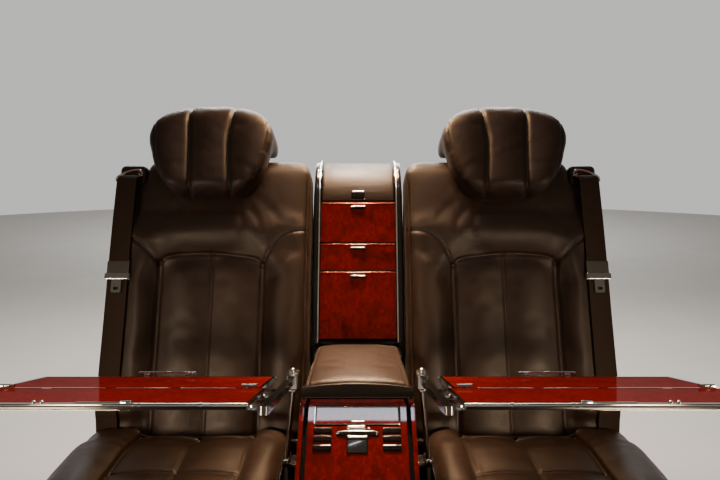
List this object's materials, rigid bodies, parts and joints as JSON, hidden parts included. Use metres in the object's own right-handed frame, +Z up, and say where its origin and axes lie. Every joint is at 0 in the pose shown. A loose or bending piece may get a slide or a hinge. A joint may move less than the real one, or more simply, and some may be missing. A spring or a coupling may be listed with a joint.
{
  "type": "limousine rear seat unit",
  "caption": "Rear seat unit of a limousine: reclining leather seats with leg rests beside a console with wooden fronts, an armrest, a drawer and folding tables.",
  "frame": {"origin": "centre of the four floor bolt holes, at the floor", "axes": "+Z up; +X to the left of somebody who sits in the unit, along its width; the seats face -Y"},
  "size_m": [1.194, 0.9318, 1.1034],
  "materials": {
    "leather": "soft grained hide, semi matt",
    "burr_wood": "red-brown burr veneer under clear lacquer",
    "chrome": "polished",
    "black_plastic": "fine grained",
    "black_gloss": "polished",
    "frame_steel": "black semi matt coat",
    "rail_steel": "drawn",
    "webbing": "woven harness webbing"
  },
  "bodies": {
    "console_body": {"floor_beams": "frame_steel", "seat_rails": "rail_steel", "seat_uprights": "frame_steel", "pivot_ears": "frame_steel", "table_arms": "black_plastic", "table_pockets": "black_plastic", "table_posts": "chrome", "console_sides": "black_plastic", "console_panels": "black_plastic", "armrest_bin": "black_plastic", "fascia_wings": "burr_wood", "fascia_panel": "burr_wood", "fascia_backing": "black_plastic", "fascia_controls": "black_gloss", "fascia_grip": "chrome", "stack_sides": "black_plastic", "stack_trim": "black_gloss", "stack_back": "black_plastic", "stack_shelves": "black_plastic"},
    "left_cushion_body": {"left_cushion": "leather", "left_cushion_pan": "frame_steel"},
    "left_leg_rest_body": {"left_leg_rest_pad": "leather", "left_leg_rest_plate": "frame_steel"},
    "left_backrest_body": {"left_backrest_pad": "leather", "left_backrest_shell": "frame_steel", "left_belt_webbing": "webbing", "left_belt_fittings": "black_plastic"},
    "left_headrest_body": {"left_headrest": "leather", "left_headrest_posts": "chrome"},
    "left_table_body": {"left_table_front": "burr_wood", "left_table_front_rail": "chrome"},
    "left_table_leaf_body": {"left_table_rear": "burr_wood", "left_table_rear_rail": "chrome"},
    "right_cushion_body": {"right_cushion": "leather", "right_cushion_pan": "frame_steel"},
    "right_leg_rest_body": {"right_leg_rest_pad": "leather", "right_leg_rest_plate": "frame_steel"},
    "right_backrest_body": {"right_backrest_pad": "leather", "right_backrest_shell": "frame_steel", "right_belt_webbing": "webbing", "right_belt_fittings": "black_plastic"},
    "right_headrest_body": {"right_headrest": "leather", "right_headrest_posts": "chrome"},
    "right_table_body": {"right_table_front": "burr_wood", "right_table_front_rail": "chrome"},
    "right_table_leaf_body": {"right_table_rear": "burr_wood", "right_table_rear_rail": "chrome"},
    "armrest_body": {"armrest_base": "black_plastic", "armrest_pad": "leather"},
    "stack_lid_body": {"stack_lid": "leather", "stack_latch": "chrome"},
    "upper_flap_body": {"upper_flap": "burr_wood"},
    "drawer_body": {"drawer": "burr_wood"},
    "lower_door_body": {"lower_door": "burr_wood"},
    "fascia_flap_body": {"fascia_flap": "burr_wood"}
  },
  "joints": [
    {"name": "left_cushion_slide", "type": "slide", "parent": "console_body", "child": "left_cushion_body", "axis": [0, -1, 0], "range_m": [0, 0.08]},
    {"name": "left_leg_rest_hinge", "type": "hinge", "parent": "left_cushion_body", "child": "left_leg_rest_body", "pos_m": [0.376, -0.362, 0.262], "axis": [-1, 0, 0], "range_deg": [0, 80]},
    {"name": "left_recline", "type": "hinge", "parent": "console_body", "child": "left_backrest_body", "pos_m": [0.352, 0.1624, 0.30004], "axis": [-1, 0, 0], "range_deg": [0, 25]},
    {"name": "left_headrest_slide", "type": "slide", "parent": "left_backrest_body", "child": "left_headrest_body", "axis": [0, 0.3746, 0.9272], "range_m": [0, 0.06]},
    {"name": "left_table_swing", "type": "hinge", "parent": "console_body", "child": "left_table_body", "pos_m": [0.14, -0.19723, 0.61767], "axis": [0, -0.9622, 0.2723], "range_deg": [0, 90]},
    {"name": "left_table_fold", "type": "hinge", "parent": "left_table_body", "child": "left_table_leaf_body", "pos_m": [0.37, -0.19505, 0.62537], "axis": [1, 0, 0], "range_deg": [0, 180]},
    {"name": "right_cushion_slide", "type": "slide", "parent": "console_body", "child": "right_cushion_body", "axis": [0, -1, 0], "range_m": [0, 0.08]},
    {"name": "right_leg_rest_hinge", "type": "hinge", "parent": "right_cushion_body", "child": "right_leg_rest_body", "pos_m": [-0.376, -0.362, 0.262], "axis": [-1, 0, 0], "range_deg": [0, 80]},
    {"name": "right_recline", "type": "hinge", "parent": "console_body", "child": "right_backrest_body", "pos_m": [-0.352, 0.1624, 0.30004], "axis": [-1, 0, 0], "range_deg": [0, 25]},
    {"name": "right_headrest_slide", "type": "slide", "parent": "right_backrest_body", "child": "right_headrest_body", "axis": [0, 0.3746, 0.9272], "range_m": [0, 0.06]},
    {"name": "right_table_swing", "type": "hinge", "parent": "console_body", "child": "right_table_body", "pos_m": [-0.14, -0.19723, 0.61767], "axis": [0, 0.9622, -0.2723], "range_deg": [0, 90]},
    {"name": "right_table_fold", "type": "hinge", "parent": "right_table_body", "child": "right_table_leaf_body", "pos_m": [-0.37, -0.19505, 0.62537], "axis": [1, 0, 0], "range_deg": [0, 180]},
    {"name": "armrest_lift", "type": "hinge", "parent": "console_body", "child": "armrest_body", "pos_m": [0, 0.205, 0.518], "axis": [-1, 0, 0], "range_deg": [0, 70]},
    {"name": "stack_lid_lift", "type": "hinge", "parent": "console_body", "child": "stack_lid_body", "pos_m": [0, 0.54976, 0.9336], "axis": [-1, 0, 0], "range_deg": [0, 60]},
    {"name": "upper_flap_drop", "type": "hinge", "parent": "console_body", "child": "upper_flap_body", "pos_m": [0, 0.33659, 0.77706], "axis": [-1, 0, 0], "range_deg": [-88, 0]},
    {"name": "drawer_pull", "type": "slide", "parent": "console_body", "child": "drawer_body", "axis": [0, 0.9272, -0.3746], "range_m": [-0.11, 0]},
    {"name": "lower_door_drop", "type": "hinge", "parent": "console_body", "child": "lower_door_body", "pos_m": [0, 0.24818, 0.55824], "axis": [-1, 0, 0], "range_deg": [-88, 0]},
    {"name": "fascia_flap_drop", "type": "hinge", "parent": "console_body", "child": "fascia_flap_body", "pos_m": [0, -0.05967, 0.49365], "axis": [1, 0, 0], "range_deg": [0, 75]}
  ]
}
